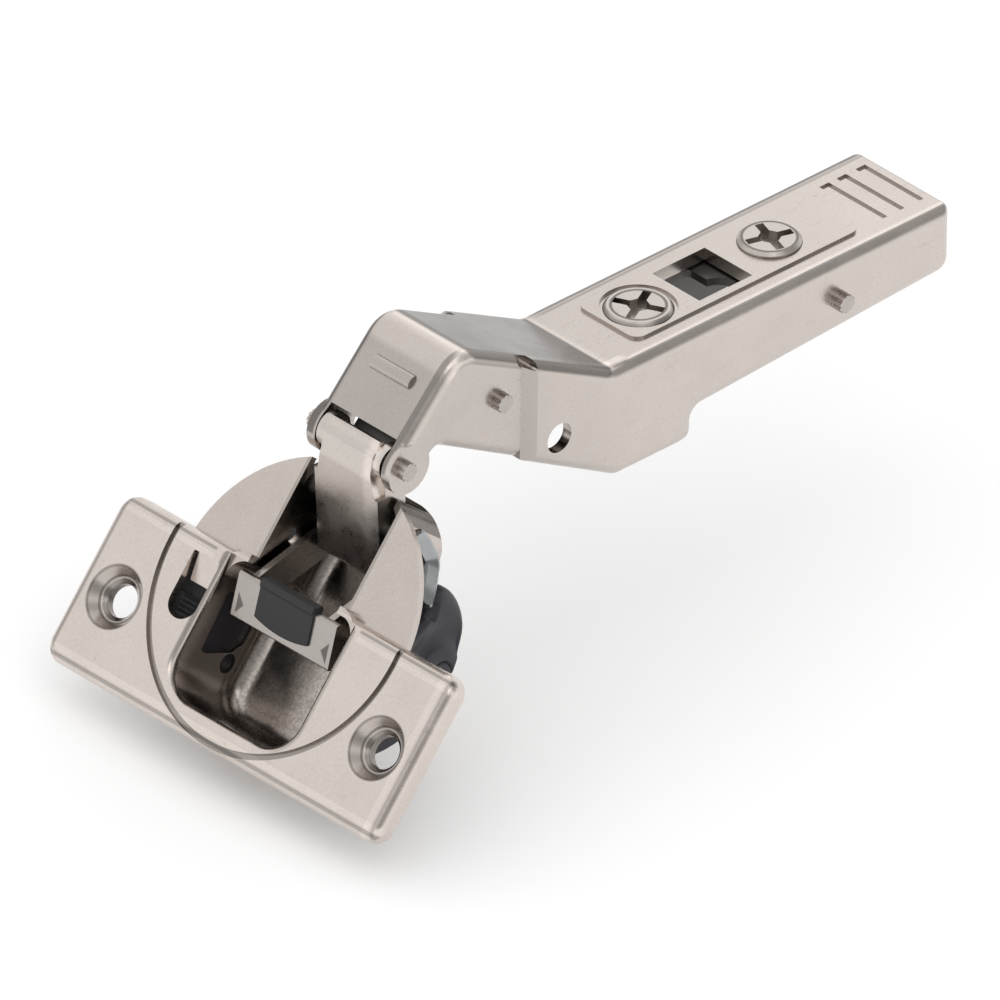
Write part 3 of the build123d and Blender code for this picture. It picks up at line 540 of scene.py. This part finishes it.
def makePlastic(name, setup):
    material, tree, shader = makeMaterial(name, 0.0)
    where = tree.nodes.new("ShaderNodeTexCoord").outputs["Object"]
    grain = addNoise(tree, where, setup["grain"], 2)
    cloud = addNoise(tree, where, moulding["cloudScale"], 3)
    tone = spread(tree, cloud, *moulding["cloudCut"], *moulding["tone"])
    tree.links.new(tint(tree, setup["colour"], tone), shader.inputs["Base Color"])
    rough = spread(tree, cloud, *moulding["cloudCut"], *setup["rough"])
    tree.links.new(rough, shader.inputs["Roughness"])
    tree.links.new(addBump(tree, grain, *moulding["bump"]), shader.inputs["Normal"])
    shader.inputs["Specular IOR Level"].default_value = moulding["specular"]
    return material


def fromBoss(points):
    # u, y, w of the boss become X, Y, Z: a turn about Y by the tilt
    cosTilt, sinTilt = math.cos(bossTilt), math.sin(bossTilt)
    return np.stack([points[..., 0] * cosTilt - points[..., 2] * sinTilt, points[..., 1],
                     points[..., 0] * sinTilt + points[..., 2] * cosTilt], axis=-1)


def smoothStep(value, width):
    # 0 well below zero, 1 well above it, and a soft rise between them
    return 1 / (1 + np.exp(-value / width))


def alongPath(corners, share):
    # points on the broken line through the corners, at shares of its length
    steps = np.concatenate([[0], np.cumsum(np.linalg.norm(np.diff(corners, axis=0), axis=1))])
    return np.stack([np.interp(share * steps[-1], steps, way) for way in corners.T], axis=-1)


def loftRings(rings, flip=False):
    # closed rings joined by quads, both ends closed by a fan to the ring's mean point
    count, around = rings.shape[:2]
    index = np.arange(count * around).reshape(count, around)
    near, far = index[:-1], index[1:]
    walls = np.stack([near, far, np.roll(far, -1, axis=1), np.roll(near, -1, axis=1)], axis=-1).reshape(-1, 4)
    points = np.concatenate([rings.reshape(-1, 3), rings[0].mean(0)[None], rings[-1].mean(0)[None]])
    first, last = count * around, count * around + 1
    fanStart = np.stack([index[0], np.roll(index[0], -1), np.full(around, first)], axis=-1)
    fanEnd = np.stack([np.roll(index[-1], -1), index[-1], np.full(around, last)], axis=-1)
    faces = walls.tolist() + fanStart.tolist() + fanEnd.tolist()
    if flip:
        faces = [face[::-1] for face in faces]
    return points, faces


def meshPiece(name, parts, body, finish, stands, smooth=True):
    points, faces, start = [], [], 0
    for corners, sides in parts:
        points.append(corners)
        faces += [[corner + start for corner in side] for side in sides]
        start += len(corners)
    mesh = bpy.data.meshes.new(name)
    mesh.from_pydata(np.concatenate(points).tolist(), [], faces)
    mesh.validate()
    if smooth:
        mesh.shade_smooth()
        mesh.set_sharp_from_angle(angle=math.radians(28))
    mesh.materials.append(finish)
    piece = bpy.data.objects.new(name, mesh)
    bpy.context.scene.collection.objects.link(piece)
    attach(piece, body)
    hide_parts(stands)


# near damper housing, in millimetres of the cup's frame: outline in u and w, moulded outside with a raised
# disc and a ring (u, w, radius, height or depth), a valley beside the disc (gap, width, depth) and a shallow
# slot (u, w, half sizes, depth)
nearHousing = {
    "outline": ((-4.0, -3.3), (6.0, -3.25), (12.5, -3.3), (14.5, -5.3), (17.2, -7.2), (19.4, -8.5), (20.1, -10.2),
                (19.7, -12.2), (18.3, -13.6), (16.4, -14.1), (12.0, -14.0), (2.0, -14.0), (-2.5, -13.6),
                (-5.0, -10.0), (-5.0, -6.0)),
    "centre": (8.0, -9.0), "drum": (9.5, 17.1), "inner": -11.6, "around": 260, "across": 84, "passes": 3,
    "rim": 0.9, "rimStart": 0.86, "disc": (10.0, -11.6, 4.0, 0.2), "discEdge": 0.06,
    "ring": (10.2, -11.9, 2.0, 0.25), "ringWidth": 0.12, "valley": (1.3, 1.3, 0.6), "valleyFrom": (9.0, 0.8),
    "slot": (16.9, -7.0, 0.95, 1.0, 0.5), "slotEdge": 0.05, "slotSlant": 0.25,
}


def makeNearHousing(setup):
    # point = centre + share * (outline - centre); the outer skin lies on the drum's circle, sinks at the
    # rim along a quarter ellipse, and rises or sinks by smooth steps at the disc, ring, valley and slot
    outline = np.array(setup["outline"] + setup["outline"][:1])
    edge = alongPath(outline, np.linspace(0, 1, setup["around"], endpoint=False))
    for _ in range(setup["passes"]):
        edge = sum(np.roll(edge, shift, axis=0) for shift in range(-3, 4)) / 7
    centre = np.array(setup["centre"])
    share = np.linspace(0.02, 1.0, setup["across"]) ** 0.8
    flat = centre + share[:, None, None] * (edge - centre)
    u, w = flat[..., 0], flat[..., 1]
    drumCentre, drumRadius = setup["drum"]
    reach = np.sqrt(np.maximum(drumRadius ** 2 - (u - drumCentre) ** 2, 1.0))
    fall = np.clip((share - setup["rimStart"]) / (1 - setup["rimStart"]), 0, 1)[:, None]
    reach = reach - setup["rim"] * (1 - np.sqrt(1 - fall ** 2 * 0.999))
    discU, discW, discRadius, discRise = setup["disc"]
    fromDisc = np.hypot(u - discU, w - discW)
    valleyGap, valleyWide, valleyDeep = setup["valley"]
    valleyFrom, valleyFade = setup["valleyFrom"]
    past = (fromDisc - discRadius - valleyGap) / valleyWide
    reach = reach - valleyDeep * np.exp(-past ** 2) * smoothStep(u - valleyFrom, valleyFade) * (1 - fall)
    reach = reach + discRise * (smoothStep(discRadius - fromDisc, setup["discEdge"]) - 1)
    ringU, ringW, ringRadius, ringDeep = setup["ring"]
    fromRing = (np.hypot(u - ringU, w - ringW) - ringRadius) / setup["ringWidth"]
    reach = reach - ringDeep * np.exp(-fromRing ** 2)
    slotU, slotW, slotLong, slotWide, slotDeep = setup["slot"]
    slot = smoothStep(slotLong - np.abs(u - slotU), setup["slotEdge"])
    slant = w - slotW + setup["slotSlant"] * (u - slotU)
    slot = slot * smoothStep(slotWide - np.abs(slant), setup["slotEdge"])
    reach = np.minimum(reach - slotDeep * slot, drumRadius)
    outer = np.stack([u, -reach, w], axis=-1)
    inner = np.stack([u, np.full_like(u, setup["inner"]), w], axis=-1)[::-1][::12]
    return loftRings(fromBoss(np.concatenate([outer, inner]) / 1000), flip=True)


# zinc axle, in millimetres of the cup's frame: flat bar along a bent path (u, y, w), and two round legs (u, w)
zincAxle = {
    "path": ((24.1, -10.2, -3.3), (23.3, -10.4, -5.4), (22.2, -10.7, -7.4), (21.5, -11.3, -7.5),
             (20.2, -12.5, -6.8), (18.7, -13.8, -5.9), (17.1, -14.9, -5.1)),
    "steps": 72, "passes": 6, "halfWidth": 1.15, "halfThick": 0.6, "bevel": 0.35, "endPower": 24,
    "sight": (0.1, -0.9, 0.45), "legs": ((19.0, -10.8), (23.0, -6.8)), "legRadius": 1.1, "legSpan": (-9.9, 9.1),
    "legSides": 48,
}


def makeZincAxle(setup):
    # a bevelled rectangle carried along the smoothed path, its face turned to "sight"; legs are circles
    # carried along y
    along = np.linspace(0, 1, setup["steps"])
    line = alongPath(np.array(setup["path"]), along)
    for _ in range(setup["passes"]):
        line[1:-1] = (line[:-2] + line[1:-1] + line[2:]) / 3
    run = np.gradient(line, axis=0)
    run /= np.linalg.norm(run, axis=1)[:, None]
    side = np.cross(run, np.array(setup["sight"]) / np.linalg.norm(setup["sight"]))
    side /= np.linalg.norm(side, axis=1)[:, None]
    out = np.cross(side, run)
    corner = np.array([(1, 1), (1, 1), (-1, 1), (-1, 1), (-1, -1), (-1, -1), (1, -1), (1, -1)])
    cut = np.array([(0, 1), (1, 0), (1, 0), (0, 1), (0, 1), (1, 0), (1, 0), (0, 1)]) * setup["bevel"]
    wide = corner[:, 0] * (setup["halfWidth"] - cut[:, 0])
    thick = corner[:, 1] * (setup["halfThick"] - cut[:, 1])
    taper = np.sqrt(np.clip(1 - (2 * along - 1) ** setup["endPower"], 0.04, 1))
    rings = line[:, None] + side[:, None] * (wide * taper[:, None])[..., None] + out[:, None] * thick[:, None]
    parts = [loftRings(fromBoss(rings / 1000))]
    turn = np.linspace(0, 2 * np.pi, setup["legSides"], endpoint=False)
    circle = np.stack([np.cos(turn), np.zeros_like(turn), np.sin(turn)], axis=-1) * setup["legRadius"]
    span = np.linspace(*setup["legSpan"], 6)[:, None, None] * np.array([0.0, 1.0, 0.0])
    for legU, legW in setup["legs"]:
        parts.append(loftRings(fromBoss((circle + (legU, 0.0, legW) + span) / 1000)))
    return parts


# pad on the paddle, in millimetres of the cup's frame: thin plate with a lip over the paddle's top edge and
# a bowed lower edge
paddlePad = {
    "top": (10.19, -0.7), "foot": (4.77, -3.12), "span": (-4.6, 4.4), "thick": 0.3, "lip": 0.5, "lipRise": 0.3,
    "lipRun": (0.1, 0.45), "back": -1.25, "over": -0.7, "ends": 0.72, "bow": 0.11, "across": 64, "around": 96,
}


def makePaddlePad(setup):
    # profile in "down" and "out" of the paddle, drawn at each y; its foot lies at
    # length * (ends + bow * (1 - t^2)), t running from -1 to 1 over the span
    top, foot = np.array(setup["top"]), np.array(setup["foot"])
    length = np.linalg.norm(foot - top)
    run = (foot - top) / length
    t = np.linspace(-1, 1, setup["across"])
    low = length * (setup["ends"] + setup["bow"] * (1 - t ** 2))
    thick, lip, back, over = (setup[key] for key in ("thick", "lip", "back", "over"))
    lipEnd, plateStart = setup["lipRun"]
    footMark = 1.0  # stands for the foot, which moves with t
    profile = np.array([(over, back), (over, setup["lipRise"]), (over / 2, lip), (lipEnd, lip), (plateStart, thick),
                        (footMark, thick), (footMark, 0.0), (0.02, 0.0), (0.0, back), (over, back)])
    down = np.where(profile[:, 0] == footMark, low[:, None], profile[None, :, 0])
    out = np.broadcast_to(profile[:, 1], down.shape)
    share = np.linspace(0, len(profile) - 1, setup["around"], endpoint=False)
    left = share.astype(int)
    rest = share - left
    down, out = (way[:, left] * (1 - rest) + way[:, left + 1] * rest for way in (down, out))
    down, out = ((np.roll(way, 1, axis=1) + way + np.roll(way, -1, axis=1)) / 3 for way in (down, out))
    u = top[0] + down * run[0] + out * run[1]
    w = top[1] + down * run[1] - out * run[0]
    near, far = setup["span"]
    y = np.broadcast_to((near + (t + 1) / 2 * (far - near))[:, None], u.shape)
    return loftRings(fromBoss(np.stack([u, y, w], axis=-1) / 1000))


# wider dark slider behind the flange window, in metres: a plate whose top is a row of ridges
switchTray = {"u": (0.0012, 0.0090), "y": (0.01155, 0.0174), "w": (-0.00325, -0.0019), "ridge": 0.0005,
              "pitch": 0.00062, "margin": 0.0006, "ridgeEdge": 0.0148, "ridgesEnd": 0.0046, "tail": 0.0008,
              "steps": (120, 24)}


def makeSwitch(setup):
    # height over the grid is base + ridge * (wave of u) ** 2, falling to the edge; sides and bottom close it
    countU, countY = setup["steps"]
    u, y = np.meshgrid(np.linspace(*setup["u"], countU), np.linspace(*setup["y"], countY), indexing="ij")
    wave = np.sin(np.pi * (u - setup["u"][0]) / setup["pitch"]) ** 2
    inner = (y > setup["y"][0] + setup["margin"]) & (y < setup["ridgeEdge"])
    inner = inner & (u > setup["u"][0] + setup["margin"])
    ridged = u < setup["ridgesEnd"]
    height = np.where(ridged, setup["w"][1] + setup["ridge"] * wave * inner, setup["w"][1] - setup["tail"])
    top = np.stack([u, y, height], axis=-1).reshape(-1, 3)
    low = top.copy()
    low[:, 2] = setup["w"][0]
    points = np.concatenate([top, low])
    first = (np.arange(countU - 1)[:, None] * countY + np.arange(countY - 1)[None, :]).ravel()
    upper = np.stack([first, first + countY, first + countY + 1, first + 1], axis=1)
    lower = upper[:, ::-1] + countU * countY
    grid = np.arange(countU * countY).reshape(countU, countY)
    rim = np.concatenate([grid[:, 0], grid[-1, 1:], grid[-2::-1, -1], grid[0, -2:0:-1]])
    after = np.roll(rim, -1)
    wall = np.stack([rim, rim + countU * countY, after + countU * countY, after], axis=1)
    return fromBoss(points), np.concatenate([upper, lower, wall]).tolist()


finishes = {}
for name, setup, toneRule in (("armSheet", armSteel, armTone), ("cupSheet", cupSteel, cupTone),
                              ("linkSheet", linkSteel, linkTone), ("paddleSheet", paddleSteel, paddleTone),
                              ("shadedInnerSheet", shadedInnerSteel, None), ("pinMetal", pinSteel, None),
                              ("screwMetal", screwSteel, screwTone), ("zincMetal", zincCast, None),
                              ("springMetal", springWire, None)):
    finishes[name] = makePlated(name, setup, toneRule)
for name, setup in (("housingPlastic", darkPlastic), ("padPlastic", padPlastic)):
    finishes[name] = makePlastic(name, setup)
nodeFinish = {
    "cup_boss": "cupSheet", "paddle_bracket": "paddleSheet", "outer_link": "linkSheet", "hinge_arm": "armSheet",
    "inner_carrier": "shadedInnerSheet", "release_lever": "shadedInnerSheet", "arm_front_pin": "pinMetal",
    "arm_link_pin": "pinMetal", "rear_pin": "pinMetal", "carrier_front_pin": "pinMetal", "damper_rod": "pinMetal",
    "side_adjust_screw": "screwMetal", "depth_cam_screw": "screwMetal", "cup_axle": "zincMetal",
    "inner_link": "shadedInnerSheet", "closing_spring": "springMetal", "lever_spring": "springMetal",
    "damper_housing_near": "housingPlastic", "damper_housing_far": "housingPlastic",
    "damper_cylinder": "housingPlastic", "damper_switch": "padPlastic", "paddle_insert": "padPlastic",
}
for node, finish in nodeFinish.items():
    slots = nodes[node].data.materials
    slots.clear()
    slots.append(finishes[finish])
print("stage: finishes on", len(nodeFinish), "solids")

housing, pad = finishes["housingPlastic"], finishes["padPlastic"]
meshPiece("nearHousing", [makeNearHousing(nearHousing)], "cup", housing, "damper_housing_near")
meshPiece("zincAxle", makeZincAxle(zincAxle), "cup", finishes["zincMetal"], "cup_axle")
meshPiece("paddlePad", [makePaddlePad(paddlePad)], "paddle", pad, "paddle_insert")
meshPiece("ridgedSwitch", [makeSwitch(switchTray)], "switch", pad, "damper_switch", smooth=False)
print("stage: shaped pieces in place")

bpy.context.scene.view_settings.view_transform = "Standard"
placeCamera(cameraSetup)
lightScene(lightSetup)
addFloor(floorSetup, cadBox[0].z)
print("stage: camera, light and floor")
